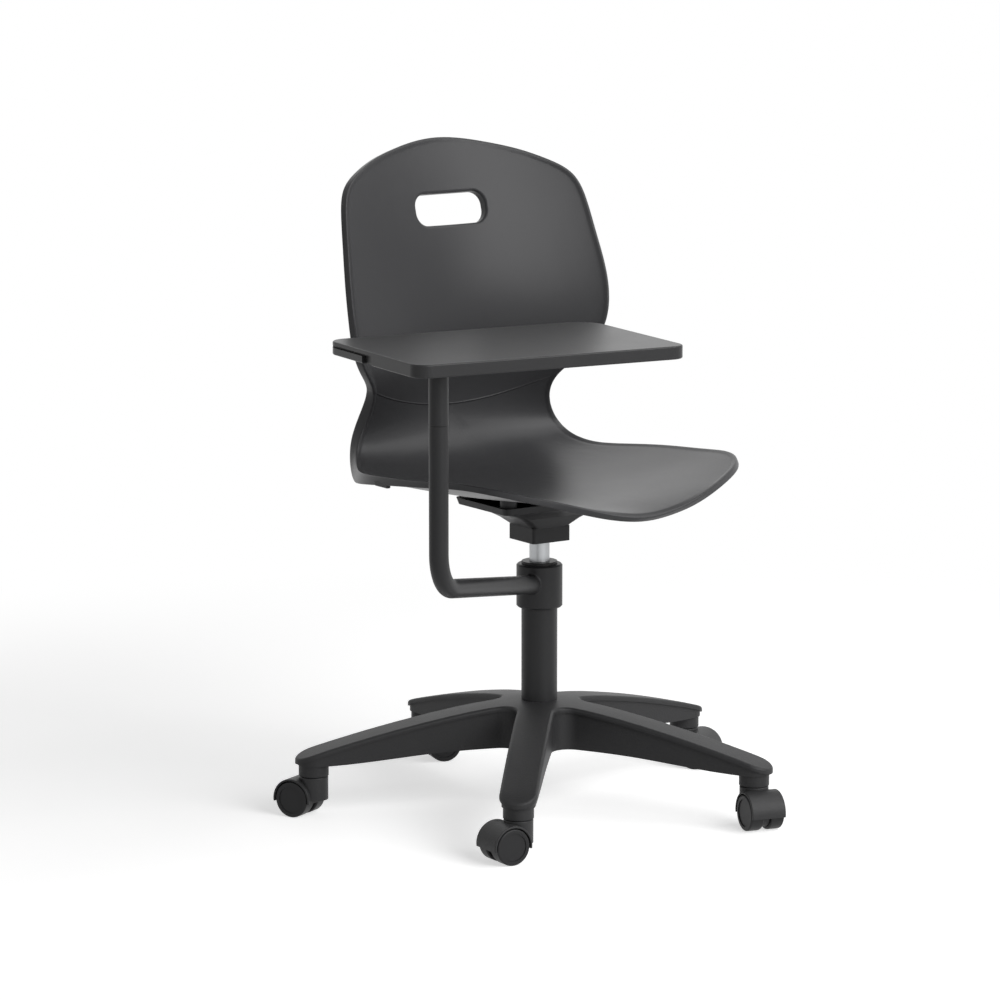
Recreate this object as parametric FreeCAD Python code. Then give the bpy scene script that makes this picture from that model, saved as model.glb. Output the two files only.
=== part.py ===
import FreeCAD, Part
import math
import os

# Swivel chair with a moulded one-piece seat, a five-arm base on twin-wheel casters
# and a writing tablet that stands on a bent tube arm.
# Lengths are millimetres. The origin is on the floor under the column, +Z is up,
# the sitter faces -Y and the tablet arm stands on the sitter's right, at -X.

V = FreeCAD.Vector
UP = V(0, 0, 1)
ORIGIN = V(0, 0, 0)

# General
cut_overrun = 5.0
running_clearance = 0.08
edge_softening = 0.8

# Star base
arm_count = 5
base_turn = 86.6
arm_width = 51.5
arm_inner_round = 22.0
stem_circle = 320.0
hub_radius = 36.0
hub_height = 150.5
boss_bottom = 58.5
boss_radius = 20.8
flange_depth = 7.0
flange_overhang = 3.0
web_wall = 4.0
arm_top_round = 4.0
arm_skin = 5.0
rib_thickness = 3.0
rib_circles = (112.0, 168.0, 224.0)
# radius as a share of the tip radius, height as a share of the hub height
arm_top_shares = (
    (0.0, 1.0),
    (0.11, 0.998),
    (0.18, 0.982),
    (0.29, 0.948),
    (0.43, 0.890),
    (0.58, 0.818),
    (0.72, 0.742),
    (0.87, 0.652),
    (0.96, 0.588),
    (1.0, 0.548),
)
arm_bottom_shares = (
    (0.0, 0.588),
    (0.17, 0.587),
    (0.30, 0.582),
    (0.45, 0.566),
    (0.60, 0.537),
    (0.75, 0.508),
    (1.0, 0.492),
)

# Casters
wheel_radius = 25.0
wheel_width = 20.0
wheel_side_gap = 0.6
wheel_edge_round = 2.5
wheel_face_recess = 1.2
wheel_face_radius = 19.0
caster_trail = 22.0
caster_web = 9.0
axle_radius = 3.0
hood_gap = 1.5
hood_wall = 2.6
hood_skirt = 4.0
neck_radius = 20.0
neck_gap = 1.0
neck_round = 2.0
stem_radius = 5.5
stem_length = 24.0
stem_end_gap = 0.8
stem_root = 14.0
caster_yaws = (177.0, -102.0, -54.0, -14.0, 116.0)
arm_of_caster = (2, 3, 4, 0, 1)

# Gas lift
column_radius = 25.0
column_wall = 2.0
column_bottom = 92.0
column_top = 344.5
bush_length = 88.0
bush_flange = 2.5
cylinder_radius = 14.0
cylinder_wall = 2.5
cylinder_bottom = 196.0
cylinder_cap = 7.0
rod_radius = 5.0
rod_clearance = 0.3
piston_length = 12.0
piston_drop = 14.0
piston_clearance = 0.3
rod_collar_radius = 15.0
bearing_thickness = 6.0
rod_tail = 10.0
washer_radius = 14.0
washer_thickness = 2.0
clip_radius = 9.0
clip_thickness = 1.2
release_pin_radius = 4.0
release_pin_rise = 5.0

# Taper socket under the seat
socket_side = 62.0
socket_corner = 4.0
socket_bottom = 377.0
socket_height = 21.0
socket_tube_radius = 20.0
socket_tube_rise = 24.0

# Seat bracket, a pressed tray with four pads
bracket_wall = 3.0
bracket_corner = 9.0
bracket_half_x = 100.0
bracket_half_y = 64.0
bracket_rim = 437.0
pad_x = 84.0
pad_y = 48.0
pad_radius = 12.0
pad_top = 440.9
# height up the tray, then half length and half width
bracket_level_shares = (
    (0.0, 0.31, 0.484),
    (0.27, 0.45, 0.60),
    (0.42, 0.56, 0.67),
    (0.58, 0.73, 0.79),
    (0.76, 0.97, 0.97),
    (1.0, 1.0, 1.0),
)
screw_radius = 3.0
screw_head_radius = 5.5
screw_head_height = 3.5
screw_length = 9.0
screw_bite = 3.0
drive_radius = 2.3
drive_depth = 2.0
drive_sides = 6

# Release lever
lever_thickness = 3.0
lever_width = 14.0
lever_inner = -8.0
lever_reach = 205.0
lever_y = 0.0
lever_pivot_x = 46.0
lever_lift = 1.7
lever_crank = 5.2
lever_crank_x = 84.0
lever_pin_radius = 2.5
lever_pin_length = 34.0
lever_eye_radius = 5.0
lug_gap = 0.5
lug_thickness = 4.0
grip_length = 58.0
grip_overlap = 43.5
grip_width = 30.0
grip_thickness = 9.0
grip_round = 3.5

# Seat shell
shell_thickness = 5.0
shell_half_width = 244.0
shell_half_depth = 256.0
pan_height = 438.0
shell_rise = 475.0
shell_sag = 29.3
outline_columns = 60
middle_share = 0.58
normal_step_share = 0.002
spline_pull_share = 1 / 6
# station along the middle: depth, rise, then cross curve as a share of shell_sag
profile_shares = (
    (-1.008, 0.011, 1.35),
    (-0.965, 0.030, 1.34),
    (-0.840, 0.037, 1.25),
    (-0.586, 0.030, 1.11),
    (-0.293, 0.015, 1.01),
    (0.0, 0.006, 0.96),
    (0.293, 0.004, 0.89),
    (0.547, 0.018, 0.77),
    (0.727, 0.056, 0.58),
    (0.836, 0.117, 0.62),
    (0.866, 0.195, 1.02),
    (0.852, 0.279, 1.72),
    (0.812, 0.367, 1.96),
    (0.788, 0.458, 1.88),
    (0.789, 0.553, 1.68),
    (0.817, 0.652, 1.53),
    (0.859, 0.753, 1.48),
    (0.914, 0.852, 1.53),
    (0.965, 0.936, 1.56),
    (1.015, 1.0, 1.56),
)
# share of the length along the middle, share of the half width
outline_shares = (
    (0.0, 0.0),
    (0.006, 0.200),
    (0.019, 0.404),
    (0.040, 0.607),
    (0.068, 0.785),
    (0.110, 0.906),
    (0.181, 0.981),
    (0.270, 0.994),
    (0.347, 0.977),
    (0.400, 0.928),
    (0.452, 0.846),
    (0.509, 0.744),
    (0.560, 0.665),
    (0.612, 0.624),
    (0.644, 0.674),
    (0.676, 0.797),
    (0.716, 0.872),
    (0.765, 0.889),
    (0.830, 0.861),
    (0.885, 0.831),
    (0.918, 0.792),
    (0.943, 0.681),
    (0.967, 0.511),
    (0.984, 0.328),
    (0.996, 0.151),
    (1.0, 0.0),
)
inner_row_shares = (0.0, 0.02, 0.06, 0.12, 0.20, 0.29, 0.40, 0.52, 0.64, 0.76, 0.87)
rim_width = 9.5
rim_rise = 1.4
rim_drop = 6.0
# across the turned edge: share of the rim width inwards, share of the rise or drop
rim_upper_shares = (
    (1.0, 0.0),
    (0.80, 0.15),
    (0.52, 0.70),
    (0.27, 1.0),
    (0.09, 0.70),
    (0.01, 0.0),
)
rim_lower_shares = (
    (0.0, 0.25),
    (0.0, 0.60),
    (0.02, 0.90),
    (0.16, 1.0),
    (0.32, 0.86),
    (0.38, 0.45),
    (0.44, 0.08),
    (0.60, 0.0),
    (1.0, 0.0),
)
# share of the length along the middle, share of the rim drop at the edge there
lip_shares = (
    (0.0, 0.60),
    (0.12, 0.45),
    (0.25, 0.60),
    (0.36, 1.27),
    (0.46, 2.13),
    (0.54, 2.22),
    (0.62, 1.34),
    (0.72, 0.68),
    (0.86, 0.50),
    (1.0, 0.56),
)
bow_width = 200.0
inward_probe_share = 0.9
handle_width = 117.0
handle_height = 45.0
handle_corner = 19.0
handle_middle = 814.5
handle_front_round = 4.0
handle_back_round = 1.2
handle_rim_wall = 4.0
handle_rim_depth = 9.0
seat_boss_radius = 12.0
rim_pad_length = 30.0
rim_pad_width = 6.0
rim_pad_drop = 2.0
rim_pad_middle = 26.0
rim_pad_round = 1.5

# Arm collar on the column
collar_radius = 32.0
collar_bottom = 282.5
collar_height = 60.7
collar_chamfer = 2.0
collar_bush_height = 14.0
collar_bush_wall = 3.0
grub_radius = 3.0
grub_gap = 0.5

# Bent tube arm
arm_heading = -145.1
arm_reach = 375.0
arm_rise_angle = 9.3
tube_radius = 13.0
tube_wall = 2.0
tube_bend = 55.0
weld_round = 3.5
seam_height = 592.0
spigot_depth = 45.0
spigot_rise = 48.0
spigot_flange = 1.5

# Writing tablet
tablet_top = 683.5
tablet_thickness = 18.0
tablet_turn = -6.3
tablet_left = 62.0
tablet_right = 340.0
tablet_near = 63.0
tablet_far = 209.0
tablet_near_corner = 22.0
tablet_left_corner = 26.0
tablet_far_corner = 40.0
tablet_edge_round = 2.0
groove_skin = 5.0
groove_height = 3.2
groove_depth = 5.0
groove_start = 72.0
notch_length = 28.0
plate_thickness = 4.0
plate_length = 170.0
plate_width = 120.0
plate_corner = 12.0
plate_margin = 26.0
plate_screw_inset = 14.0
post_plug_length = 18.0


def cylinder(radius, height, base=ORIGIN, axis=UP):
    return Part.makeCylinder(radius, height, base, axis)


def ring(outer, inner, height, base=ORIGIN, axis=UP):
    return cylinder(outer, height, base, axis).cut(cylinder(inner, height, base, axis))


def turned(shape, angle, base=ORIGIN, axis=UP):
    copy = shape.copy()
    copy.rotate(base, axis, angle)
    return copy


def moved(shape, offset):
    copy = shape.copy()
    copy.translate(offset)
    return copy


def polar(radius, angle, height=0):
    return V(radius * math.cos(math.radians(angle)), radius * math.sin(math.radians(angle)), height)


def rounded_rectangle(x0, x1, y0, y1, z, corner):
    # corner is one radius, or four, from the corner at x0, y0 round by x1
    ra, rb, rc, rd = corner if isinstance(corner, tuple) else (corner,) * 4
    bend = 1 - math.sqrt(0.5)
    a = Part.LineSegment(V(x0 + ra, y0, z), V(x1 - rb, y0, z))
    b = Part.Arc(V(x1 - rb, y0, z), V(x1 - rb * bend, y0 + rb * bend, z), V(x1, y0 + rb, z))
    c = Part.LineSegment(V(x1, y0 + rb, z), V(x1, y1 - rc, z))
    d = Part.Arc(V(x1, y1 - rc, z), V(x1 - rc * bend, y1 - rc * bend, z), V(x1 - rc, y1, z))
    e = Part.LineSegment(V(x1 - rc, y1, z), V(x0 + rd, y1, z))
    f = Part.Arc(V(x0 + rd, y1, z), V(x0 + rd * bend, y1 - rd * bend, z), V(x0, y1 - rd, z))
    g = Part.LineSegment(V(x0, y1 - rd, z), V(x0, y0 + ra, z))
    h = Part.Arc(V(x0, y0 + ra, z), V(x0 + ra * bend, y0 + ra * bend, z), V(x0 + ra, y0, z))
    return Part.Wire([s.toShape() for s in (a, b, c, d, e, f, g, h)])


def slab(x0, x1, y0, y1, z, thickness, corner):
    outline = rounded_rectangle(x0, x1, y0, y1, z, corner)
    return Part.Face(outline).extrude(V(0, 0, thickness))


def spline(points):
    curve = Part.BSplineCurve()
    curve.interpolate(points)
    return curve


def soften(shape, radius, chosen):
    edges = [edge for edge in shape.Edges if chosen(edge)]
    return shape.makeFillet(radius, edges)


def hex_drive(base, axis=UP):
    # the hexagon socket that a key turns a screw by
    corners = [polar(drive_radius, 360.0 * k / drive_sides) for k in range(drive_sides)]
    prism = Part.Face(Part.makePolygon(corners + corners[:1])).extrude(V(0, 0, drive_depth))
    prism.Placement = FreeCAD.Placement(base, FreeCAD.Rotation(UP, axis))
    return prism


# Star base
tip_radius = stem_circle + arm_width / 2
arm_angles = [base_turn + 360.0 * k / arm_count for k in range(arm_count)]


def arm_profile(shares):
    return [V(tip_radius * r, 0, hub_height * z) for r, z in shares]


def star_prism(half_width, inner_round):
    half_step = math.radians(180.0 / arm_count)
    root = (half_width + inner_round) / math.tan(half_step)
    centre = (half_width + inner_round) / math.sin(half_step)
    edges = []
    for angle in arm_angles:
        along = polar(1, angle)
        across = polar(1, angle + 90)
        between = polar(1, angle + 180.0 / arm_count)
        next_along = polar(1, angle + 360.0 / arm_count)
        next_across = polar(1, angle + 360.0 / arm_count + 90)
        right_root = along * root - across * half_width
        right_end = along * stem_circle - across * half_width
        tip = along * (stem_circle + half_width)
        left_end = along * stem_circle + across * half_width
        left_root = along * root + across * half_width
        next_root = next_along * root - next_across * half_width
        hollow = between * (centre - inner_round)
        edges.append(Part.LineSegment(right_root, right_end).toShape())
        edges.append(Part.Arc(right_end, tip, left_end).toShape())
        edges.append(Part.LineSegment(left_end, left_root).toShape())
        edges.append(Part.Arc(left_root, hollow, next_root).toShape())
    face = Part.Face(Part.Wire(edges))
    return face.extrude(V(0, 0, hub_height + cut_overrun))


def revolved_between(top_points, bottom_points):
    top = spline(top_points).toShape()
    bottom = spline(bottom_points).toShape()
    outer = Part.LineSegment(top_points[-1], bottom_points[-1]).toShape()
    inner = Part.LineSegment(bottom_points[0], top_points[0]).toShape()
    wire = Part.Wire(Part.__sortEdges__([top, outer, bottom, inner]))
    return Part.Face(wire).revolve(ORIGIN, UP, 360)


def lowered(points, drop):
    return [point - V(0, 0, drop) for point in points]


def star_base():
    half_width = arm_width / 2
    top = arm_profile(arm_top_shares)
    bottom = arm_profile(arm_bottom_shares)
    cap = star_prism(half_width, arm_inner_round)
    cap = cap.common(revolved_between(top, lowered(top, flange_depth)))
    cap = soften(cap, arm_top_round, lambda edge: near_top(edge, top))
    webs = star_prism(half_width - flange_overhang, arm_inner_round + flange_overhang)
    webs = webs.common(revolved_between(lowered(top, flange_depth / 2), bottom))
    body = cap.fuse(webs)
    pocket_half = half_width - flange_overhang - web_wall
    pocket = star_prism(pocket_half, arm_inner_round + flange_overhang + web_wall)
    pocket = pocket.common(revolved_between(lowered(top, arm_skin), lowered(bottom, cut_overrun)))
    pocket = pocket.cut(cylinder(hub_radius, hub_height))
    pocket = pocket.cut([cross_rib(angle, circle) for angle in arm_angles for circle in rib_circles])
    body = body.cut(pocket)
    above = revolved_between(lowered(top, -hub_height), lowered(top, arm_skin / 2))
    for angle in arm_angles:
        boss = cylinder(boss_radius, hub_height - boss_bottom, polar(stem_circle, angle, boss_bottom))
        body = body.fuse(boss.cut(above))
    bore = cylinder(column_radius, hub_height + cut_overrun)
    body = body.cut(bore)
    for angle in arm_angles:
        place = polar(stem_circle, angle, boss_bottom)
        socket = cylinder(stem_radius + running_clearance, stem_length + stem_end_gap, place)
        body = body.cut(socket)
    return body.removeSplitter()


def cross_rib(angle, circle):
    rib = Part.makeBox(rib_thickness, arm_width, hub_height, V(circle, -arm_width / 2, 0))
    return turned(rib, angle)


def near_top(edge, top):
    middle = edge.valueAt((edge.FirstParameter + edge.LastParameter) / 2)
    height = height_on(top, math.hypot(middle.x, middle.y))
    return middle.z >= height - flange_depth / 2


def height_on(points, radius):
    for a, b in zip(points, points[1:]):
        if a.x <= radius <= b.x:
            share = (radius - a.x) / (b.x - a.x)
            return a.z + (b.z - a.z) * share
    return points[-1].z


# Gas lift
cylinder_top = socket_bottom + socket_height + socket_tube_rise
bore_radius = cylinder_radius - cylinder_wall
bore_top = cylinder_top - cylinder_wall - release_pin_rise
rod_top = bore_top - piston_drop
rod_bottom = column_bottom - rod_tail


def gas_column():
    height = column_top - column_bottom
    body = cylinder(column_radius, height, V(0, 0, column_bottom))
    inner = cylinder(column_radius - column_wall, height, V(0, 0, column_bottom + column_wall))
    hole = cylinder(rod_radius + rod_clearance, column_wall, V(0, 0, column_bottom))
    return body.cut(inner).cut(hole)


def column_bush():
    bore = cylinder_radius + running_clearance
    sleeve = cylinder(column_radius - column_wall, bush_length, V(0, 0, column_top - bush_length))
    flange = cylinder(column_radius, bush_flange, V(0, 0, column_top))
    flange = soften(flange, edge_softening, lambda e: e.BoundBox.ZMin > column_top)
    hole = cylinder(bore, bush_length + bush_flange, V(0, 0, column_top - bush_length))
    return sleeve.fuse(flange).cut(hole).removeSplitter()


def piston_rod():
    shaft = cylinder(rod_radius, rod_top - rod_bottom, V(0, 0, rod_bottom))
    groove = ring(clip_radius, rod_radius - edge_softening, clip_thickness, V(0, 0, clip_level()))
    return shaft.cut(groove)


def rod_bearing():
    floor = column_bottom + column_wall
    return ring(rod_collar_radius, rod_radius, bearing_thickness, V(0, 0, floor + running_clearance))


def piston():
    return ring(bore_radius - piston_clearance, rod_radius, piston_length,
                V(0, 0, rod_top - piston_length))


def washer_level():
    return column_bottom - washer_thickness - running_clearance


def clip_level():
    return washer_level() - clip_thickness


def gas_cylinder():
    body = cylinder(cylinder_radius, cylinder_top - cylinder_bottom, V(0, 0, cylinder_bottom))
    chamber_bottom = cylinder_bottom + cylinder_cap
    chamber = cylinder(bore_radius, bore_top - chamber_bottom, V(0, 0, chamber_bottom))
    hole = cylinder(rod_radius + rod_clearance, cylinder_cap, V(0, 0, cylinder_bottom))
    pin_hole = cylinder(release_pin_radius, cylinder_top - bore_top, V(0, 0, bore_top))
    return body.cut(chamber).cut(hole).cut(pin_hole)


def release_pin():
    height = cylinder_top - bore_top + release_pin_rise
    return cylinder(release_pin_radius, height, V(0, 0, bore_top))


# Taper socket and bracket
def taper_socket():
    half = socket_side / 2
    block = slab(-half, half, -half, half, socket_bottom, socket_height, socket_corner)
    tube = cylinder(socket_tube_radius, socket_height + socket_tube_rise, V(0, 0, socket_bottom))
    bore = cylinder(cylinder_radius, socket_height + socket_tube_rise, V(0, 0, socket_bottom))
    return block.fuse(tube).cut(bore).removeSplitter()


def bracket_loft(inset, lift):
    bottom = socket_bottom + socket_height
    wires = []
    for level, x_share, y_share in bracket_level_shares:
        height = bottom + (bracket_rim - bottom) * level + lift
        half_x = bracket_half_x * x_share - inset
        half_y = bracket_half_y * y_share - inset
        corner = bracket_corner - inset
        wires.append(rounded_rectangle(-half_x, half_x, -half_y, half_y, height, corner))
    return Part.makeLoft(wires, True, True)


def seat_bracket():
    bottom = socket_bottom + socket_height
    tray = bracket_loft(0, 0).cut(bracket_loft(bracket_wall, bracket_wall))
    tray = tray.cut(cylinder(socket_tube_radius, bracket_rim, ORIGIN))
    envelope = bracket_loft(0, 0)
    for sx in (-1, 1):
        for sy in (-1, 1):
            spot = V(sx * pad_x, sy * pad_y, bottom)
            pad = cylinder(pad_radius, bracket_rim - bottom, spot).common(envelope)
            crown = cylinder(pad_radius, pad_top - bracket_rim, V(spot.x, spot.y, bracket_rim))
            tray = tray.fuse(pad.fuse(crown))
            hole = cylinder(screw_radius, pad_top, V(spot.x, spot.y, 0))
            seat = cylinder(screw_head_radius + edge_softening, screw_seat(), V(spot.x, spot.y, 0))
            tray = tray.cut(hole).cut(seat)
    for sy in (-1, 1):
        tray = tray.fuse(lever_lug(sy))
    return tray.removeSplitter()


def screw_seat():
    return pad_top - screw_length


def lever_lug(side):
    inner = side * (lever_width / 2 + lug_gap)
    outer = side * (lever_width / 2 + lug_gap + lug_thickness)
    y0 = lever_y + min(inner, outer)
    low = socket_bottom + socket_height
    centre = V(lever_pivot_x, y0, lever_level())
    block = Part.makeBox(2 * lever_eye_radius, lug_thickness, lever_level() - low,
                         V(lever_pivot_x - lever_eye_radius, y0, low))
    block = block.common(bracket_loft(0, 0))
    eye = cylinder(lever_eye_radius, lug_thickness, centre, V(0, 1, 0))
    hole = cylinder(lever_pin_radius, lug_thickness, centre, V(0, 1, 0))
    return block.fuse(eye).cut(hole)


def bracket_screw(x, y):
    head_level = screw_seat() - screw_head_height
    shank = cylinder(screw_radius, screw_length + screw_bite, V(x, y, screw_seat()))
    head = cylinder(screw_head_radius, screw_head_height, V(x, y, head_level))
    head = soften(head, edge_softening, lambda e: e.BoundBox.ZMax < screw_seat() - edge_softening)
    return shank.fuse(head).cut(hex_drive(V(x, y, head_level)))


# Release lever, cranked up to pass over the rim of the bracket
def handle_level():
    return bracket_rim + lever_lift


def lever_level():
    return handle_level() - lever_crank


def release_lever():
    side = lever_y - lever_width / 2
    half = lever_thickness / 2
    inner = Part.makeBox(lever_crank_x + lever_thickness - lever_inner, lever_width, lever_thickness,
                         V(lever_inner, side, lever_level() - half))
    step = Part.makeBox(lever_thickness, lever_width, lever_crank + lever_thickness,
                        V(lever_crank_x, side, lever_level() - half))
    outer = Part.makeBox(lever_reach - lever_crank_x, lever_width, lever_thickness,
                         V(lever_crank_x, side, handle_level() - half))
    pivot = V(lever_pivot_x, side, lever_level())
    eye = cylinder(lever_eye_radius, lever_width, pivot, V(0, 1, 0))
    hole = cylinder(lever_pin_radius + running_clearance, lever_width, pivot, V(0, 1, 0))
    return inner.fuse([step, outer, eye]).cut(hole).removeSplitter()


def lever_pin():
    return cylinder(lever_pin_radius, lever_pin_length,
                    V(lever_pivot_x, lever_y - lever_pin_length / 2, lever_level()), V(0, 1, 0))


def lever_grip():
    low = handle_level() - grip_thickness / 2
    start = lever_reach - grip_overlap
    grip = Part.makeBox(grip_length, grip_width, grip_thickness,
                        V(start, lever_y - grip_width / 2, low))
    grip = grip.makeFillet(grip_round, grip.Edges)
    return grip.cut(release_lever())


# Seat shell
def curve_of(values, stations):
    curve = Part.BSplineCurve()
    points = [V(s, v, 0) for s, v in zip(stations, values)]
    curve.interpolate(Points=points, Parameters=stations)
    return lambda s: curve.value(s).y


profile_y = [shell_half_depth * y for y, z, sag in profile_shares]
profile_z = [pan_height + shell_rise * z for y, z, sag in profile_shares]
profile_bow = [shell_sag * sag for y, z, sag in profile_shares]
run = [0.0]
for here in range(1, len(profile_y)):
    step_y = profile_y[here] - profile_y[here - 1]
    step_z = profile_z[here] - profile_z[here - 1]
    run.append(run[-1] + math.hypot(step_y, step_z))
shell_length = run[-1]
stations = [distance / shell_length for distance in run]
middle_y = curve_of(profile_y, stations)
middle_z = curve_of(profile_z, stations)
middle_bow = curve_of(profile_bow, stations)


def sheet_point(s, x):
    inside = min(1.0, max(0.0, s))
    after = min(1.0, inside + normal_step_share)
    before = max(0.0, inside - normal_step_share)
    dy = (middle_y(after) - middle_y(before)) / (after - before)
    dz = (middle_z(after) - middle_z(before)) / (after - before)
    length = math.hypot(dy, dz)
    y = middle_y(inside) + dy * (s - inside)
    z = middle_z(inside) + dz * (s - inside)
    lift = middle_bow(inside) * (x / bow_width) ** 2
    return V(x, y - dz / length * lift, z + dy / length * lift)


def sheet_normal(s, x):
    step = normal_step_share
    wide = step * shell_half_width
    along = sheet_point(s + step, x) - sheet_point(s - step, x)
    across = sheet_point(s, x + wide) - sheet_point(s, x - wide)
    return across.cross(along).normalize()


def outline_stations():
    right = [V(s * shell_length, x * shell_half_width, 0) for s, x in outline_shares]
    left = [V(p.x, -p.y, 0) for p in reversed(right[1:-1])]
    curve = Part.BSplineCurve()
    curve.interpolate(Points=right + left, PeriodicFlag=True)
    points = curve.discretize(Number=outline_columns + 1)[:outline_columns]
    return [(p.x / shell_length, p.y) for p in points]


def shell_rows():
    edge = outline_stations()
    places = [sheet_point(s, x) for s, x in edge]
    normals = [sheet_normal(s, x) for s, x in edge]
    inwards = []
    for j in range(outline_columns):
        along = places[(j + 1) % outline_columns] - places[j - 1]
        inward = normals[j].cross(along.normalize())
        s, x = edge[j]
        probe = middle_share + (s - middle_share) * inward_probe_share
        centre = sheet_point(probe, x * inward_probe_share)
        if inward.dot(centre - places[j]) < 0:
            inward = inward * -1
        inwards.append(inward)

    def inner(share, height):
        row = []
        for s, x in edge:
            at = middle_share + (s - middle_share) * share
            row.append(sheet_point(at, x * share) + sheet_normal(at, x * share) * height)
        return row

    def rim(inset, height, lip):
        row = []
        for j in range(outline_columns):
            depth = height + lip * lip_at(edge[j][0])
            row.append(places[j] + inwards[j] * inset + normals[j] * depth)
        return row

    half = shell_thickness / 2
    rows = [inner(share, half) for share in inner_row_shares]
    for inset, rise in rim_upper_shares:
        rows.append(rim(rim_width * inset, half + rim_rise * rise, 0))
    for inset, drop in rim_lower_shares:
        rows.append(rim(rim_width * inset, -half, -rim_drop * drop))
    rows += [inner(share, -half) for share in reversed(inner_row_shares)]
    return [drawn_out(row) for row in rows]


def lip_at(s):
    for (before, low), (after, high) in zip(lip_shares, lip_shares[1:]):
        if before <= s <= after:
            return low + (high - low) * (s - before) / (after - before)
    return lip_shares[-1][1]


def drawn_out(row):
    # a cubic spline runs inside its poles, so each pole is moved out by a sixth of the bend there
    poles = []
    for j in range(len(row)):
        bend = row[(j + 1) % len(row)] + row[j - 1] - row[j] * 2
        poles.append(row[j] - bend * spline_pull_share)
    return poles


def closed_surface(rows):
    count = len(rows)
    columns = len(rows[0])
    surface = Part.BSplineSurface()
    u_knots = [k / (count - 3.0) for k in range(count - 2)]
    v_knots = [k / (1.0 * columns) for k in range(columns + 1)]
    u_mults = [4] + [1] * (count - 4) + [4]
    v_mults = [1] * (columns + 1)
    surface.buildFromPolesMultsKnots(rows, u_mults, v_mults, u_knots, v_knots, False, True, 3, 3)
    faces = []
    for u_start in (0.0, 0.5):
        for v_start in (0.0, 0.5):
            quarter = surface.copy()
            quarter.segment(u_start, u_start + 0.5, v_start, v_start + 0.5)
            faces.append(quarter.toShape())
    shell = Part.makeShell(faces)
    shell.sewShape()
    solid = Part.makeSolid(shell)
    if solid.Volume < 0:
        solid.reverse()
    return solid


def seat_shell():
    body = closed_surface(shell_rows())
    bosses = []
    for sx in (-1, 1):
        for sy in (-1, 1):
            x = sx * pad_x
            y = sy * pad_y
            bosses.append(boss_under_pan(x, y))
    body = largest(body.fuse(bosses + [rim_pad(-1), rim_pad(1)]))
    body = largest(body.fuse(handle_prism(handle_rim_wall, -handle_bow() / 2, handle_rim_depth)))
    body = largest(body.cut(handle_prism(0, -handle_width, handle_width)))
    body = soften(body, handle_back_round, on_handle_back)
    body = soften(body, handle_front_round, on_handle_front)
    for sx in (-1, 1):
        for sy in (-1, 1):
            spot = V(sx * pad_x, sy * pad_y, pad_top)
            body = body.cut(cylinder(screw_radius, screw_bite, spot))
    return body


def rim_pad(side):
    # a small buffer under the rolled rim, beside the hip
    share = middle_share
    while share > 0 and sheet_point(share, 0).y > rim_pad_middle:
        share -= normal_step_share
    edge = sheet_point(share, shell_half_width - rim_pad_width / 2)
    lip = shell_thickness / 2 + rim_drop * lip_at(share)
    high = edge.z - lip / 2
    low = edge.z - lip - rim_pad_drop
    pad = Part.makeBox(rim_pad_width, rim_pad_length, high - low,
                       V(side * edge.x - rim_pad_width / 2, rim_pad_middle - rim_pad_length / 2, low))
    return soften(pad, rim_pad_round, lambda e: e.BoundBox.ZMax < high)


def handle_station():
    share = middle_share
    while sheet_point(share, 0).z < handle_middle:
        share += normal_step_share
    return share


def handle_bow():
    return middle_bow(handle_station()) * (handle_width / 2 / bow_width) ** 2


def handle_prism(margin, front, back):
    # the outline of the carrying hole, drawn through the back square to it
    half_width = handle_width / 2 + margin
    half_height = handle_height / 2 + margin
    outline = rounded_rectangle(-half_width, half_width, -half_height, half_height, front,
                                handle_corner + margin)
    prism = Part.Face(outline).extrude(V(0, 0, back - front))
    facing = sheet_normal(handle_station(), 0)
    lean = math.degrees(math.atan2(facing.z, -facing.y))
    prism = turned(prism, -90 - lean, ORIGIN, V(1, 0, 0))
    return moved(prism, sheet_point(handle_station(), 0))


def behind_sheet(edge):
    # how far an edge of the carrying hole lies behind the middle of the sheet
    offset = edge.CenterOfMass - sheet_point(handle_station(), 0)
    return -offset.dot(sheet_normal(handle_station(), 0))


def round_handle(edge, margin):
    box = edge.BoundBox
    half_width = handle_width / 2 + margin + edge_softening
    half_height = handle_height / 2 + margin + edge_softening
    level = box.ZMin > handle_middle - half_height and box.ZMax < handle_middle + half_height
    return level and max(abs(box.XMin), abs(box.XMax)) < half_width


def on_handle_back(edge):
    far = behind_sheet(edge) > handle_rim_depth - edge_softening
    return far and round_handle(edge, handle_rim_wall)


def on_handle_front(edge):
    return round_handle(edge, 0) and behind_sheet(edge) < 0 and not across_sheet(edge)


def across_sheet(edge):
    # a short straight edge that runs through the sheet beside a corner of the hole
    if len(edge.Vertexes) != 2 or edge.Curve.TypeId != "Part::GeomLine":
        return False
    box = edge.BoundBox
    return box.XLength < edge_softening and box.ZLength < shell_thickness


def largest(shape):
    return max(shape.Solids, key=lambda solid: solid.Volume)


def pan_level(x, y):
    share = 0.0
    while sheet_point(share, x).y < y:
        share += normal_step_share
    return sheet_point(share, x).z


def boss_under_pan(x, y):
    return cylinder(seat_boss_radius, pan_level(x, y) - pad_top, V(x, y, pad_top))


# Arm collar
def arm_collar():
    body = cylinder(collar_radius, collar_height, V(0, 0, collar_bottom))
    body = body.makeChamfer(collar_chamfer, [e for e in body.Edges if len(e.Vertexes) == 1])
    seat = column_radius + running_clearance + collar_bush_wall
    bore = cylinder(seat, collar_height, V(0, 0, collar_bottom))
    body = body.cut(bore)
    middle = collar_bottom + collar_height / 2
    grub = cylinder(grub_radius, collar_radius, V(0, 0, middle), polar(1, arm_heading + 180))
    return body.cut(grub)


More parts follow.
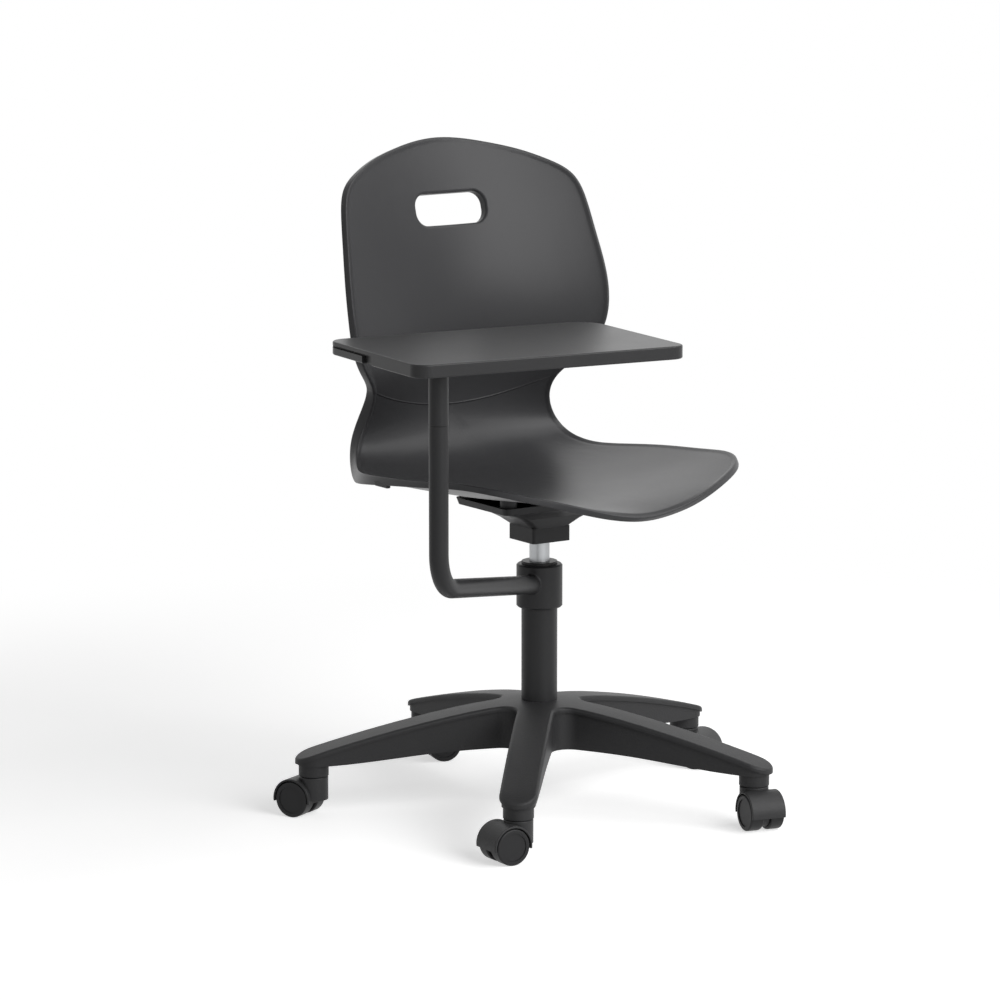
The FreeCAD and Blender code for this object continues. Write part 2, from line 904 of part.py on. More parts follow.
def collar_bush(upper):
    seat = column_radius + running_clearance + collar_bush_wall
    if upper:
        low = collar_bottom + collar_height - collar_bush_height
    else:
        low = collar_bottom
    return ring(seat, column_radius + running_clearance, collar_bush_height, V(0, 0, low))


def collar_grub():
    middle = collar_bottom + collar_height / 2
    start = column_radius + grub_gap
    axis = polar(1, arm_heading + 180)
    end = collar_radius - edge_softening
    screw = cylinder(grub_radius, end - start, axis * start + V(0, 0, middle), axis)
    socket_floor = axis * (end - drive_depth) + V(0, 0, middle)
    return screw.cut(hex_drive(socket_floor, axis))


# Bent tube arm
def arm_route():
    slope = math.tan(math.radians(arm_rise_angle))
    start_height = collar_bottom + collar_height / 2
    outward = polar(1, arm_heading)
    start = V(0, 0, start_height)
    corner = outward * arm_reach + V(0, 0, start_height + arm_reach * slope)
    run_in = (corner - start).normalize()
    turn = math.radians(90 - arm_rise_angle)
    setback = tube_bend * math.tan(turn / 2)
    bend_start = corner - run_in * setback
    bend_end = corner + UP * setback
    bisector = (UP - run_in).normalize()
    centre = corner + bisector * (tube_bend / math.cos(turn / 2))
    bend_middle = centre - bisector * tube_bend
    return start, bend_start, bend_middle, bend_end, corner


def arm_pipe(radius):
    start, bend_start, bend_middle, bend_end, corner = arm_route()
    top = V(corner.x, corner.y, seam_height)
    edges = [
        Part.LineSegment(start, bend_start).toShape(),
        Part.Arc(bend_start, bend_middle, bend_end).toShape(),
        Part.LineSegment(bend_end, top).toShape(),
    ]
    circle = Part.Wire([Part.Circle(start, bend_start - start, radius).toShape()])
    return Part.Wire(edges).makePipeShell([circle], True, False)


def arm_tube():
    outer = arm_pipe(tube_radius)
    inner = arm_pipe(tube_radius - tube_wall)
    post = cylinder(collar_radius, 2 * collar_height, V(0, 0, collar_bottom - collar_height / 2))
    welded = soften(outer.fuse(post), weld_round, at_weld)
    return largest(welded.cut(inner).cut(post))


def at_weld(edge):
    # the seam where the tube meets the collar
    box = edge.BoundBox
    low = box.ZMin > collar_bottom
    high = box.ZMax < collar_bottom + collar_height
    return low and high and math.hypot(box.Center.x, box.Center.y) < collar_radius + tube_radius


def post_axis():
    return polar(arm_reach, arm_heading)


def arm_spigot():
    base = post_axis()
    lower = cylinder(tube_radius - tube_wall, spigot_depth,
                     V(base.x, base.y, seam_height - spigot_depth))
    flange = cylinder(tube_radius, spigot_flange, V(base.x, base.y, seam_height))
    journal = cylinder(tube_radius - tube_wall - running_clearance, spigot_rise,
                       V(base.x, base.y, seam_height + spigot_flange))
    return lower.fuse(flange).fuse(journal)


# Writing tablet, drawn along its own edges round the post and then turned
def on_post(shape):
    base = post_axis()
    return moved(turned(shape, tablet_turn), V(base.x, base.y, 0))


def tablet_bottom():
    return tablet_top - tablet_thickness


def tablet_board():
    corners = (tablet_near_corner, tablet_near_corner, tablet_far_corner, tablet_left_corner)
    board = slab(-tablet_left, tablet_right, -tablet_near, tablet_far, tablet_bottom(),
                 tablet_thickness, corners)
    board = soften(board, tablet_edge_round, lambda e: e.BoundBox.ZLength < tablet_thickness / 2)
    for x, y in plate_screw_spots():
        board = board.cut(cylinder(screw_radius, screw_length, V(x, y, tablet_bottom())))
    under_skin = tablet_top - groove_skin
    groove = Part.makeBox(groove_depth, tablet_far - groove_start, groove_height,
                          V(-tablet_left, groove_start, under_skin - groove_height))
    notch = Part.makeBox(groove_depth, notch_length, under_skin - tablet_bottom(),
                         V(-tablet_left, groove_start, tablet_bottom()))
    return on_post(board.cut(groove).cut(notch))


def plate_screw_spots():
    x0 = -plate_margin + plate_screw_inset
    x1 = plate_length - plate_margin - plate_screw_inset
    y0 = -plate_margin + plate_screw_inset
    y1 = plate_width - plate_margin - plate_screw_inset
    return ((x0 + 2 * plate_margin, y0), (x1, y0), (x1, y1), (x0, y1))


def tablet_plate():
    plate = slab(-plate_margin, plate_length - plate_margin, -plate_margin,
                 plate_width - plate_margin, tablet_bottom() - plate_thickness,
                 plate_thickness, plate_corner)
    for x, y in plate_screw_spots():
        hole = cylinder(screw_radius, plate_thickness, V(x, y, tablet_bottom() - plate_thickness))
        plate = plate.cut(hole)
    return on_post(plate)


def tablet_screw(x, y):
    seat = tablet_bottom() - plate_thickness
    shank = cylinder(screw_radius, plate_thickness + screw_length, V(x, y, seat))
    head = cylinder(screw_head_radius, screw_head_height, V(x, y, seat - screw_head_height))
    head = soften(head, edge_softening, lambda e: e.BoundBox.ZMax < seat - edge_softening)
    drive = hex_drive(V(x, y, seat - screw_head_height))
    return on_post(shank.fuse(head).cut(drive))


def tablet_post():
    low = seam_height + spigot_flange + running_clearance
    height = tablet_bottom() - plate_thickness - low
    tube = ring(tube_radius, tube_radius - tube_wall, height, V(0, 0, low))
    return on_post(tube)


def post_plug():
    high = tablet_bottom() - plate_thickness
    plug = cylinder(tube_radius - tube_wall, post_plug_length, V(0, 0, high - post_plug_length))
    plug = plug.cut(cylinder(screw_radius, post_plug_length, V(0, 0, high - post_plug_length)))
    return on_post(plug)


# Casters, drawn with the trail along +X and the stem on the Z axis
def axle_centre(y=0):
    return V(caster_trail, y, wheel_radius)


def caster_wheel(side):
    inner = caster_web / 2 + wheel_side_gap
    if side > 0:
        start = axle_centre(inner)
    else:
        start = axle_centre(-inner)
    axis = V(0, side, 0)
    wheel = cylinder(wheel_radius, wheel_width, start, axis)
    wheel = soften(wheel, wheel_edge_round, lambda e: len(e.Vertexes) == 1)
    outer = start + axis * (wheel_width - wheel_face_recess)
    recess = cylinder(wheel_face_radius, wheel_face_recess, outer, axis)
    bore = cylinder(axle_radius + running_clearance, axle_reach(), start, axis)
    return wheel.cut(recess).cut(bore)


def axle_reach():
    return wheel_width - 2 * wheel_edge_round


def caster_axle():
    half = caster_web / 2 + wheel_side_gap + axle_reach() - edge_softening
    return cylinder(axle_radius, 2 * half, axle_centre(-half), V(0, 1, 0))


def caster_hood():
    half = caster_web / 2 + wheel_side_gap + wheel_width
    top = boss_bottom - neck_gap
    space = wheel_radius + hood_gap
    outer = cylinder(space + hood_wall, 2 * half, axle_centre(-half), V(0, 1, 0))
    outer = soften(outer, hood_wall / 2, lambda e: len(e.Vertexes) == 1)
    neck_low = wheel_radius
    neck = cylinder(neck_radius, top - neck_low, V(0, 0, neck_low))
    neck = soften(neck, neck_round, lambda e: e.BoundBox.ZMin > top - edge_softening)
    body = outer.fuse(neck)
    keep = Part.makeBox(4 * space, 4 * half, top, V(-2 * space, -2 * half, wheel_radius - hood_skirt))
    body = body.common(keep)
    for side in (-1, 1):
        start = axle_centre(side * caster_web / 2)
        body = body.cut(cylinder(space, 2 * half, start, V(0, side, 0)))
    web = cylinder(wheel_radius - hood_skirt, caster_web, axle_centre(-caster_web / 2), V(0, 1, 0))
    body = body.fuse(web)
    body = body.cut(cylinder(axle_radius, caster_web, axle_centre(-caster_web / 2), V(0, 1, 0)))
    hole = cylinder(stem_radius, stem_root, V(0, 0, top - stem_root))
    return body.cut(hole).removeSplitter()


def caster_stem():
    top = boss_bottom - neck_gap
    return cylinder(stem_radius, stem_root + neck_gap + stem_length, V(0, 0, top - stem_root))


def caster_place(shape, index):
    angle = arm_angles[arm_of_caster[index]]
    return moved(turned(shape, caster_yaws[index]), polar(stem_circle, angle))


def build():
    os.makedirs("parts", exist_ok=True)
    pieces = {
        "star_base": star_base(),
        "gas_column": gas_column(),
        "column_bush": column_bush(),
        "piston_rod": piston_rod(),
        "rod_bearing": rod_bearing(),
        "rod_piston": piston(),
        "rod_washer": ring(washer_radius, rod_radius, washer_thickness, V(0, 0, washer_level())),
        "rod_clip": ring(clip_radius, rod_radius - edge_softening, clip_thickness,
                         V(0, 0, clip_level())),
        "gas_cylinder": gas_cylinder(),
        "release_pin": release_pin(),
        "taper_socket": taper_socket(),
        "seat_bracket": seat_bracket(),
        "seat_shell": seat_shell(),
        "release_lever": release_lever(),
        "lever_grip": lever_grip(),
        "lever_pin": lever_pin(),
        "arm_collar": arm_collar(),
        "collar_bush_upper": collar_bush(True),
        "collar_bush_lower": collar_bush(False),
        "collar_grub_screw": collar_grub(),
        "arm_tube": arm_tube(),
        "arm_spigot": arm_spigot(),
        "tablet_post": tablet_post(),
        "tablet_post_plug": post_plug(),
        "tablet_plate": tablet_plate(),
        "tablet_board": tablet_board(),
    }
    for number, (x, y) in enumerate(plate_screw_spots(), 1):
        pieces["tablet_screw_%d" % number] = tablet_screw(x, y)
    number = 0
    for sx in (-1, 1):
        for sy in (-1, 1):
            number += 1
            pieces["bracket_screw_%d" % number] = bracket_screw(sx * pad_x, sy * pad_y)
    for index in range(arm_count):
        name = "caster_%d_" % (index + 1)
        pieces[name + "hood"] = caster_place(caster_hood(), index)
        pieces[name + "stem"] = caster_place(caster_stem(), index)
        pieces[name + "axle"] = caster_place(caster_axle(), index)
        pieces[name + "wheel_left"] = caster_place(caster_wheel(1), index)
        pieces[name + "wheel_right"] = caster_place(caster_wheel(-1), index)
    for name, shape in pieces.items():
        shape.exportStep("parts/%s.step" % name)
        print(name, len(shape.Solids), shape.isValid(), round(shape.Volume))


build()
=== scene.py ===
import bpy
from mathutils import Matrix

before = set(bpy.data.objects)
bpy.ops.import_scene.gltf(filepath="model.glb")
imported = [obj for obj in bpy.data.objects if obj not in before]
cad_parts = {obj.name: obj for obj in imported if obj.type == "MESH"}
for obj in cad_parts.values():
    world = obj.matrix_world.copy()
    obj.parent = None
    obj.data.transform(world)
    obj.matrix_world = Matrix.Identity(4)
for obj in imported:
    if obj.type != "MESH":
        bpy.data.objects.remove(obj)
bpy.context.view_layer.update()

import logging
import math
from dataclasses import dataclass
from enum import Enum
from typing import ClassVar, Union

import bpy
from mathutils import Vector

LOG = logging.getLogger("chair")
Place = tuple[float, float, float]
Colour = tuple[float, float, float]
WHITE = (1.0, 1.0, 1.0, 1.0)


@dataclass(frozen=True)
class Noise:
    """A noise over a surface.

    Attributes:
        scale: Lumps to the metre.
        detail: Octaves.
        rough: How strong the fine octaves are.
        stretch: How the pattern is scaled along each axis.
    """

    scale: float
    detail: float
    rough: float
    stretch: Place = (1.0, 1.0, 1.0)


@dataclass(frozen=True)
class Relief:
    """How far a pattern stands up from a surface.

    Attributes:
        strength: How much of the bump is used.
        distance: The height of 1, in metres.
    """

    strength: float
    distance: float


class Grain(Enum):
    """The surface textures that the chair's makers use."""

    SPARK = (Noise(1500.0, 2.0, 0.6), Relief(0.35, 0.0002))
    LEATHERY = (Noise(1400.0, 2.0, 0.5), Relief(0.25, 0.0002))
    POWDER = (Noise(620.0, 2.0, 0.4), Relief(0.22, 0.0003))
    LAMINATE = (Noise(900.0, 1.0, 0.4), Relief(0.12, 0.0002))
    SMOOTH = (Noise(60.0, 1.0, 0.4), Relief(0.04, 0.0002))
    GROUND = (Noise(260.0, 2.0, 0.6, (0.1, 0.1, 14.0)), Relief(0.10, 0.0001))


class Side(Enum):
    """The two wheels of a caster."""

    LEFT = "left"
    RIGHT = "right"


class Value:
    """A number that changes over a surface, with the operators that shader sums need."""

    def __init__(self, maker: "Nodes", socket: bpy.types.NodeSocket) -> None:
        """Wraps a socket.

        Args:
            maker: The tree whose nodes the sum is made of.
            socket: The output that gives the number.
        """
        self.maker = maker
        self.socket = socket

    def combined(self, operation: str, *others: Union["Value", float],
                 clamp: bool = False) -> "Value":
        """Adds one Math node.

        Args:
            operation: The Math node's operation.
            others: The second and third numbers.
            clamp: Whether the result is kept between 0 and 1.

        Returns:
            The node's result.
        """
        links = {0: self.socket}
        for place, other in enumerate(others, 1):
            links[place] = other.socket if isinstance(other, Value) else other
        settings = {"operation": operation, "use_clamp": clamp}
        node = self.maker.node("ShaderNodeMath", settings, links)
        return Value(self.maker, node.outputs[0])

    def __add__(self, other: Union["Value", float]) -> "Value":
        """Adds a number."""
        return self.combined("ADD", other)

    def __sub__(self, other: Union["Value", float]) -> "Value":
        """Takes a number away."""
        return self.combined("SUBTRACT", other)

    def __mul__(self, other: Union["Value", float]) -> "Value":
        """Multiplies by a number."""
        return self.combined("MULTIPLY", other)

    def __truediv__(self, other: Union["Value", float]) -> "Value":
        """Divides by a number."""
        return self.combined("DIVIDE", other)

    def __neg__(self) -> "Value":
        """Changes the sign."""
        return self.combined("MULTIPLY", -1.0)

    def __rsub__(self, other: float) -> "Value":
        """Takes this number away from another."""
        return (-self) + other

    def size(self) -> "Value":
        """Returns the number without its sign."""
        return self.combined("ABSOLUTE")

    def band(self, low: float, high: float) -> "Value":
        """Rises smoothly from 0 at low to 1 at high.

        Args:
            low: Where the rise starts.
            high: Where it ends.

        Returns:
            The share of the rise.
        """
        share = ((self - low) / (high - low)).combined("ADD", 0.0, clamp=True)
        return share * share * (3.0 - share * 2.0)


class Nodes:
    """A node tree and the one way that a node is made in it."""

    def __init__(self, tree: bpy.types.NodeTree) -> None:
        """Empties the tree.

        Args:
            tree: The tree of a material or of the world.
        """
        self.tree = tree
        self.tree.nodes.clear()

    def give(self, socket: bpy.types.NodeSocket, value: object) -> None:
        """Links a socket or sets its constant.

        Args:
            socket: The input.
            value: A constant, an output or a Value.
        """
        if isinstance(value, Value):
            value = value.socket
        if isinstance(value, bpy.types.NodeSocket):
            self.tree.links.new(value, socket)
        else:
            socket.default_value = value

    def node(self, kind: str, settings: dict | None = None,
             inputs: dict | None = None) -> bpy.types.Node:
        """Makes one node.

        Args:
            kind: The node's type.
            settings: What is set on the node itself.
            inputs: What its sockets hold, by name or number.

        Returns:
            The node.
        """
        made = self.tree.nodes.new(kind)
        for key, setting in (settings or {}).items():
            setattr(made, key, setting)
        for key, value in (inputs or {}).items():
            self.give(made.inputs[key], value)
        return made

    def blend(self, share: Value, first: bpy.types.Node, second: bpy.types.Node) -> bpy.types.Node:
        """Mixes two shaders.

        Args:
            share: How much of the second one shows.
            first: The first shader's node.
            second: The second shader's node.

        Returns:
            The mixing node.
        """
        return self.node("ShaderNodeMixShader", {}, {
            0: share, 1: first.outputs[0], 2: second.outputs[0]})

    def sees_backdrop(self) -> Value:
        """Tells the rays that see the white backdrop from those that light the chair.

        Returns:
            1 for camera, glossy and transmission rays, else 0.
        """
        ray = self.node("ShaderNodeLightPath").outputs
        seen = Value(self, ray["Is Camera Ray"])
        for kind in ("Is Glossy Ray", "Is Transmission Ray"):
            seen = seen.combined("MAXIMUM", Value(self, ray[kind]))
        return seen


class Material(Nodes):
    """A node material with one principled surface."""

    FIRST_COLOUR = 6
    SECOND_COLOUR = 7
    MIXED_COLOUR = 2

    def __init__(self, name: str) -> None:
        """Makes an empty node tree with its output and surface.

        Args:
            name: The material's name.
        """
        self.data = bpy.data.materials.new(name)
        self.data.use_nodes = True
        super().__init__(self.data.node_tree)
        self.surface = self.node("ShaderNodeBsdfPrincipled")
        self.output = self.node("ShaderNodeOutputMaterial", {}, {
            "Surface": self.surface.outputs["BSDF"]})
        self.place = self.node("ShaderNodeTexCoord").outputs["Object"]

    def set(self, **inputs: Union[float, Colour, Value, bpy.types.NodeSocket]) -> None:
        """Sets the surface's sockets.

        Args:
            inputs: Values or links by socket name, with underscores for spaces.
        """
        for key, value in inputs.items():
            if isinstance(value, tuple):
                value = (*value, 1.0)
            self.give(self.surface.inputs[key.replace("_", " ")], value)

    def axes(self) -> tuple[Value, Value, Value]:
        """Returns the point's x, y and z in metres."""
        split = self.node("ShaderNodeSeparateXYZ", {}, {0: self.place})
        return tuple(Value(self, socket) for socket in split.outputs)

    def noise(self, pattern: Noise) -> Value:
        """Makes a noise.

        Args:
            pattern: Its sizes.

        Returns:
            A number from 0 to 1.
        """
        place = self.node("ShaderNodeMapping", {}, {
            "Vector": self.place, "Scale": pattern.stretch})
        made = self.node("ShaderNodeTexNoise", {}, {
            "Vector": place.outputs[0], "Scale": pattern.scale,
            "Detail": pattern.detail, "Roughness": pattern.rough})
        return Value(self, made.outputs["Fac"])

    def cells(self, scale: float) -> Value:
        """Makes rounded cells.

        Args:
            scale: Cells to the metre.

        Returns:
            The distance from each cell's middle.
        """
        made = self.node("ShaderNodeTexVoronoi", {"feature": "SMOOTH_F1"}, {
            "Vector": self.place, "Scale": scale})
        return Value(self, made.outputs["Distance"])

    def mixed(self, share: Value, low: Colour, high: Colour) -> bpy.types.NodeSocket:
        """Mixes two colours.

        Args:
            share: How much of the second colour shows.
            low: The first colour.
            high: The second colour.

        Returns:
            The mixed colour.
        """
        made = self.node("ShaderNodeMix", {"data_type": "RGBA"}, {
            "Factor": share,
            self.FIRST_COLOUR: (*low, 1.0),
            self.SECOND_COLOUR: (*high, 1.0)})
        return made.outputs[self.MIXED_COLOUR]

    def bump(self, height: Value, relief: Relief,
             under: bpy.types.NodeSocket | None = None) -> bpy.types.NodeSocket:
        """Makes a bump.

        Args:
            height: The height, from 0 to 1.
            relief: How far it stands up.
            under: A bump that this one is laid over.

        Returns:
            The bumped normal.
        """
        inputs = {"Strength": relief.strength, "Distance": relief.distance, "Height": height}
        if under is not None:
            inputs["Normal"] = under
        return self.node("ShaderNodeBump", {}, inputs).outputs[0]


@dataclass(frozen=True)
class Finish:
    """A surface finish: its colour, its shine and its grain.

    Attributes:
        name: The material's name.
        colour: The main colour.
        worn: The colour that the slow variation drifts to.
        rough: The middle roughness.
        spread: How far the roughness drifts.
        grain: The texture.
        metallic: 1 for bare metal.
        specular: The strength of the plain reflection.
    """

    name: str
    colour: Colour
    worn: Colour
    rough: float
    spread: float
    grain: Grain
    metallic: float = 0.0
    specular: float = 0.21

    DRIFT: ClassVar[Noise] = Noise(9.0, 4.0, 0.55)
    DRIFT_FROM: ClassVar[float] = 0.35
    DRIFT_COLOUR: ClassVar[float] = 1.6
    DRIFT_ROUGH: ClassVar[float] = 0.8
    FINE: ClassVar[Noise] = Noise(240.0, 2.0, 0.5)
    FINE_FROM: ClassVar[float] = 0.5
    FINE_COLOUR: ClassVar[float] = 0.4
    FINE_ROUGH: ClassVar[float] = 0.6
    CELLS: ClassVar[float] = 520.0
    CELL_RELIEF: ClassVar[Relief] = Relief(0.45, 0.0004)

    def made(self) -> Material:
        """Builds the finish.

        Returns:
            Its material.
        """
        material = Material(self.name)
        drift = material.noise(self.DRIFT)
        fine = material.noise(self.FINE)
        share = ((drift - self.DRIFT_FROM) * self.DRIFT_COLOUR
                 + (fine - self.FINE_FROM) * self.FINE_COLOUR)
        material.set(
            Base_Color=material.mixed(share, self.colour, self.worn),
            Roughness=(drift * self.spread + fine * (self.spread * self.FINE_ROUGH)
                       + (self.rough - self.spread * self.DRIFT_ROUGH)),
            Metallic=self.metallic,
            Specular_IOR_Level=self.specular,
            Normal=self.textured(material),
        )
        return material

    def textured(self, material: Material) -> bpy.types.NodeSocket:
        """Lays the grain on the surface.

        Args:
            material: The material that takes it.

        Returns:
            The grained normal.
        """
        under = None
        if self.grain is Grain.LEATHERY:
            under = material.bump(material.cells(self.CELLS), self.CELL_RELIEF)
        pattern, relief = self.grain.value
        return material.bump(material.noise(pattern), relief, under)


@dataclass(frozen=True)
class ShellFinish(Finish):
    """The moulded shell's finish, with the crease that crosses the lower back.

    Attributes:
        crease_low: Height of the crease at the middle.
        crease_half: Half the length of the crease.
        crease_climb: How far it climbs to its ends.
        crease_width: Width of the crease.
    """

    crease_low: float = 0.539
    crease_half: float = 0.155
    crease_climb: float = 0.034
    crease_width: float = 0.0016

    FADE_FROM: ClassVar[float] = 0.85
    FADE_TO: ClassVar[float] = 1.05
    STEP: ClassVar[float] = 0.8
    CREASE: ClassVar[Relief] = Relief(0.8, 0.0008)

    def textured(self, material: Material) -> bpy.types.NodeSocket:
        """Lays the grain and the crease on the surface.

        Args:
            material: The material that takes them.

        Returns:
            The creased normal.
        """
        x, _, z = material.axes()
        across = x / self.crease_half
        above = z - (across * across * self.crease_climb + self.crease_low)
        ridge = 1.0 - above.size().band(0.0, self.crease_width)
        fade = 1.0 - across.size().band(self.FADE_FROM, self.FADE_TO)
        step = above.band(-self.crease_width, self.crease_width)
        return material.bump(ridge * fade + step * self.STEP, self.CREASE,
                             super().textured(material))


class Finishes:
    """Every finish of the chair, each made once."""

    SHELL = ShellFinish("charcoal shell", (0.037, 0.037, 0.039), (0.041, 0.041, 0.043),
                        0.34, 0.06, Grain.SPARK)
    NYLON = Finish("black nylon", (0.027, 0.027, 0.028), (0.031, 0.031, 0.032),
                   0.50, 0.10, Grain.LEATHERY)
    HOOD = Finish("satin hood nylon", (0.032, 0.032, 0.033), (0.038, 0.038, 0.039),
                  0.46, 0.08, Grain.LEATHERY)
    WHEEL = Finish("caster wheel", (0.019, 0.019, 0.020), (0.023, 0.023, 0.024),
                   0.42, 0.10, Grain.SMOOTH)
    POWDER = Finish("charcoal powder coat", (0.022, 0.022, 0.023), (0.026, 0.026, 0.027),
                    0.42, 0.08, Grain.POWDER)
    PAINT = Finish("satin black paint", (0.024, 0.024, 0.025), (0.028, 0.028, 0.029),
                   0.45, 0.08, Grain.POWDER)
    BUSH = Finish("black acetal", (0.008, 0.008, 0.008), (0.011, 0.011, 0.011),
                  0.38, 0.06, Grain.SMOOTH)
    LAMINATE = Finish("charcoal laminate", (0.028, 0.028, 0.029), (0.032, 0.032, 0.033),
                      0.34, 0.06, Grain.LAMINATE)
    CYLINDER = Finish("ground cylinder", (0.40, 0.41, 0.42), (0.46, 0.47, 0.48),
                      0.42, 0.06, Grain.GROUND, 1.0)
    ZINC = Finish("zinc plate", (0.50, 0.50, 0.50), (0.60, 0.60, 0.61),
                  0.36, 0.12, Grain.SMOOTH, 1.0)

    def __init__(self) -> None:
        """Starts with no material made."""
        self.ready: dict[str, Material] = {}

    def of(self, finish: Finish) -> bpy.types.Material:
        """Returns a finish's material.

        Args:
            finish: The finish.

        Returns:
            The material, made the first time.
        """
        if finish.name not in self.ready:
            self.ready[finish.name] = finish.made()
        return self.ready[finish.name].data


@dataclass(frozen=True)
class Lamp:
    """A soft square lamp.

    Attributes:
        name: The lamp's name.
        before: How far it stands from the chair towards the camera.
        right: How far it stands to the camera's right.
        height: How high it hangs.
        size: The width of its panel.
        power: Its power in watts.
    """

    name: str
    before: float
    right: float
    height: float
    size: float
    power: float


@dataclass(frozen=True)
class Studio:
    """The pale floor, the soft lights and the camera, in metres and radians.

    Attributes:
        floor_half: Half the floor's width.
        floor_colour: The floor's colour.
        floor_rough: The floor's roughness.
        floor_glow: What lifts the floor round the chair towards white.
        shadow_reach: How far the floor keeps the chair's shadow.
        white_from: How far from the chair the floor is plain white.
        fill: The soft light from all sides.
        backdrop: The strength of the white background.
        azimuth: The camera's turn about the upright axis.
        pitch: How far the camera looks down.
        distance: How far the camera stands from the chair.
        height: The camera's height.
        aside: How far the camera stands to the side.
        lens: The focal length, in millimetres.
        sensor: The sensor's width, in millimetres.
        sight: How far the camera sees.
        aim: The height that the lamps point at.
        lamps: The lamps.
    """

    floor_half: float = 30.0
    floor_colour: Colour = (0.80, 0.80, 0.80)
    floor_rough: float = 0.9
    floor_glow: float = 0.60
    shadow_reach: float = 0.9
    white_from: float = 1.8
    fill: float = 0.03
    backdrop: float = 1.0
    azimuth: float = math.radians(-34.0)
    pitch: float = math.radians(10.0)
    distance: float = 6.591
    height: float = 1.594
    aside: float = -0.0547
    lens: float = 174.1
    sensor: float = 36.0
    sight: float = 100.0
    aim: float = 0.5
    lamps: tuple[Lamp, ...] = (
        Lamp("back wall", -5.0, 0.0, 1.8, 5.0, 16.0),
        Lamp("top back", -2.4, 0.0, 3.4, 2.8, 9.0),
        Lamp("top right", 0.0, 2.6, 3.2, 2.4, 48.0),
        Lamp("top left", 0.0, -2.6, 3.2, 2.4, 7.0),
        Lamp("front right", 3.0, 3.0, 2.6, 3.4, 190.0),
    )

    def spot(self, before: float, right: float, height: float) -> Vector:
        """Places a point as the camera sees the studio.

        Args:
            before: How far it lies from the chair towards the camera.
            right: How far it lies to the camera's right.
            height: How high it lies.

        Returns:
            The point.
        """
        across = Vector((math.cos(self.azimuth), math.sin(self.azimuth), 0.0))
        towards = Vector((math.sin(self.azimuth), -math.cos(self.azimuth), 0.0))
        return towards * before + across * right + Vector((0.0, 0.0, height))

    def camera(self) -> None:
        """Puts the camera where the photograph was taken from."""
        data = bpy.data.cameras.new("camera")
        data.sensor_fit = "HORIZONTAL"
        data.sensor_width = self.sensor
        data.lens = self.lens
        data.clip_end = self.sight
        camera = bpy.data.objects.new("camera", data)
        bpy.context.scene.collection.objects.link(camera)
        camera.location = self.spot(self.distance, self.aside, self.height)
        camera.rotation_euler = (math.pi / 2 - self.pitch, 0.0, self.azimuth)
        bpy.context.scene.camera = camera

    def floor(self) -> None:
        """Lays a white floor that shows the shadow and meets the white background."""
        bpy.ops.object.select_all(action="DESELECT")
        bpy.ops.mesh.primitive_plane_add(size=2 * self.floor_half, location=(0, 0, 0))
        plane = bpy.context.active_object
        plane.name = "floor"
        material = Material("studio floor")
        material.set(Base_Color=self.floor_colour, Roughness=self.floor_rough,
                     Specular_IOR_Level=0.0)
        glow = material.node("ShaderNodeEmission", {}, {"Strength": self.floor_glow})
        near = material.node("ShaderNodeAddShader", {}, {
            0: material.surface.outputs[0], 1: glow.outputs[0]})
        white = material.node("ShaderNodeEmission", {}, {"Strength": self.backdrop})
        x, y, _ = material.axes()
        far = (x * x + y * y).band(self.shadow_reach ** 2, self.white_from ** 2)
        seen = material.blend(far, near, white)
        shown = material.blend(material.sees_backdrop(), material.surface, seen)
        material.give(material.output.inputs["Surface"], shown.outputs[0])
        plane.data.materials.append(material.data)

    def world(self) -> None:
        """Fills the studio with soft light and shows white behind the chair."""
        world = bpy.data.worlds.new("studio")
        bpy.context.scene.world = world
        world.use_nodes = True
        nodes = Nodes(world.node_tree)
        fill, white = (
            nodes.node("ShaderNodeBackground", {}, {"Color": WHITE, "Strength": strength})
            for strength in (self.fill, self.backdrop))
        both = nodes.blend(nodes.sees_backdrop(), fill, white)
        nodes.node("ShaderNodeOutputWorld", {}, {"Surface": both.outputs[0]})

    def hang(self, lamp: Lamp) -> None:
        """Hangs one lamp that points at the chair.

        Args:
            lamp: The lamp's place, size and power.
        """
        data = bpy.data.lights.new(lamp.name, "AREA")
        data.shape = "SQUARE"
        data.size = lamp.size
        data.energy = lamp.power
        hung = bpy.data.objects.new(lamp.name, data)
        bpy.context.scene.collection.objects.link(hung)
        hung.location = self.spot(lamp.before, lamp.right, lamp.height)
        sight = Vector((0.0, 0.0, self.aim)) - hung.location
        hung.rotation_euler = sight.to_track_quat("-Z", "Y").to_euler()
        hung.visible_camera = False

    def build(self) -> None:
        """Builds the whole studio."""
        bpy.context.scene.view_settings.view_transform = "Standard"
        self.camera()
        self.floor()
        self.world()
        for lamp in self.lamps:
            self.hang(lamp)


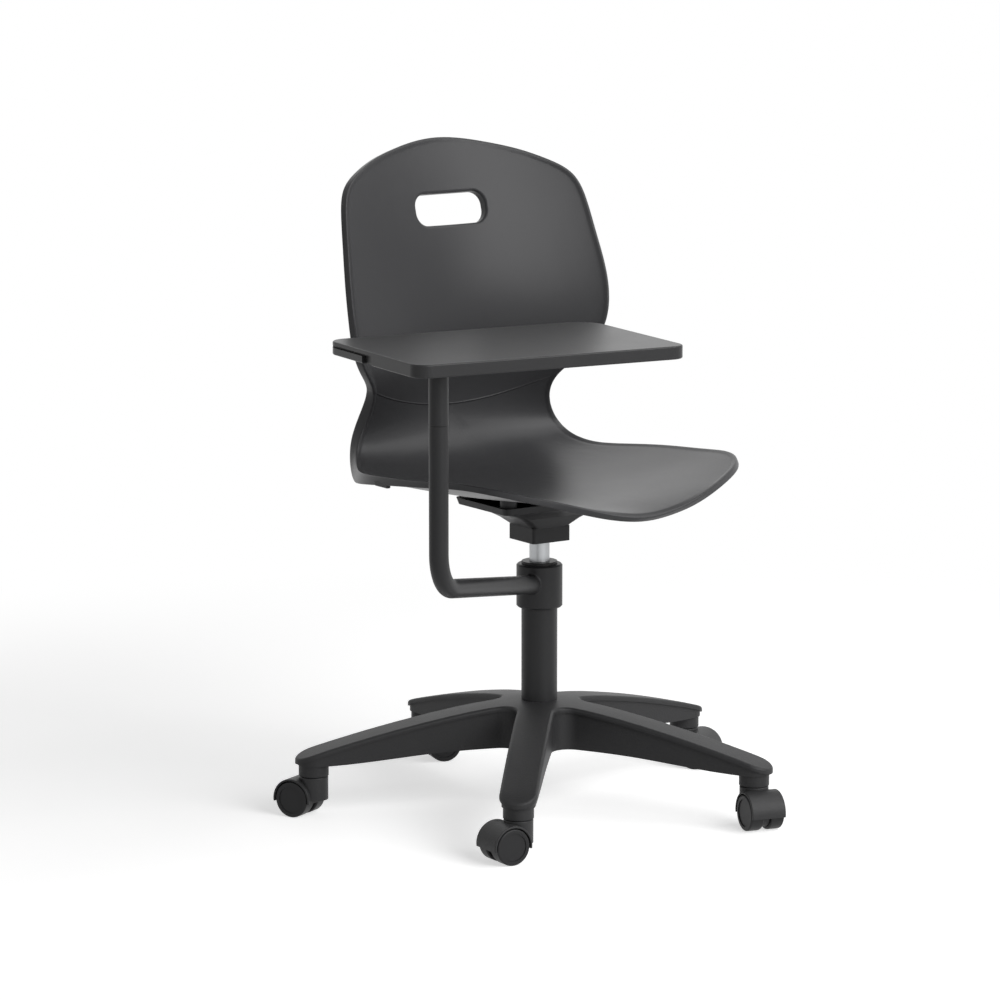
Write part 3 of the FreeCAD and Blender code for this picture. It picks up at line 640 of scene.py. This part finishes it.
@dataclass(frozen=True)
class Assembly:
    """A group of the chair's solids that is dressed together.

    Attributes:
        finishes: The chair's finishes.
    """

    finishes: Finishes

    def dress(self, finish: Finish, *nodes: str) -> None:
        """Gives solids of the frame their finish.

        Args:
            finish: The finish.
            nodes: The solids' names.
        """
        material = self.finishes.of(finish)
        for node in nodes:
            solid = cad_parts[node]
            for slot in solid.material_slots:
                slot.material = material
            if not solid.material_slots:
                solid.data.materials.append(material)
            LOG.info("%s: %s", node, finish.name)

    def screws(self, name: str) -> None:
        """Dresses a set of four screws.

        Args:
            name: What the screws are called before their number.
        """
        self.dress(Finishes.ZINC, *(f"{name}_{number}" for number in range(1, 5)))


class SeatGroup(Assembly):
    """The shell, the bracket under it and the height lever."""

    def build(self) -> None:
        """Dresses the seat's solids."""
        self.dress(Finishes.SHELL, "seat_shell")
        self.dress(Finishes.PAINT, "seat_bracket", "taper_socket", "release_lever")
        self.dress(Finishes.HOOD, "lever_grip")
        self.dress(Finishes.ZINC, "lever_pin", "release_pin")
        self.screws("bracket_screw")


class GasLift(Assembly):
    """The column, its bush and what slides and turns in it."""

    def build(self) -> None:
        """Dresses the gas lift's solids."""
        self.dress(Finishes.POWDER, "gas_column")
        self.dress(Finishes.BUSH, "column_bush")
        self.dress(Finishes.CYLINDER, "gas_cylinder")
        self.dress(Finishes.ZINC, "piston_rod", "rod_piston", "rod_bearing", "rod_washer",
                   "rod_clip")


class StarBase(Assembly):
    """The five-arm base and its casters."""

    CASTERS = 5

    def build(self) -> None:
        """Dresses the base and each caster."""
        self.dress(Finishes.NYLON, "star_base")
        for number in range(1, self.CASTERS + 1):
            caster = f"caster_{number}"
            self.dress(Finishes.HOOD, f"{caster}_hood")
            self.dress(Finishes.ZINC, f"{caster}_stem", f"{caster}_axle")
            self.dress(Finishes.WHEEL, *(f"{caster}_wheel_{side.value}" for side in Side))


class TabletArm(Assembly):
    """The collar, the bent tube and the writing tablet."""

    def build(self) -> None:
        """Dresses the arm and the tablet."""
        self.dress(Finishes.POWDER, "arm_collar", "arm_tube", "tablet_post")
        self.dress(Finishes.BUSH, "collar_bush_upper", "collar_bush_lower",
                   "tablet_post_plug", "arm_spigot")
        self.dress(Finishes.ZINC, "collar_grub_screw")
        self.screws("tablet_screw")
        self.dress(Finishes.PAINT, "tablet_plate")
        self.dress(Finishes.LAMINATE, "tablet_board")


def main() -> None:
    """Builds the studio and the chair."""
    logging.basicConfig(level=logging.INFO, format="%(name)s: %(message)s")
    Studio().build()
    finishes = Finishes()
    for group in (SeatGroup, GasLift, StarBase, TabletArm):
        group(finishes).build()


if __name__ == "__main__":
    main()
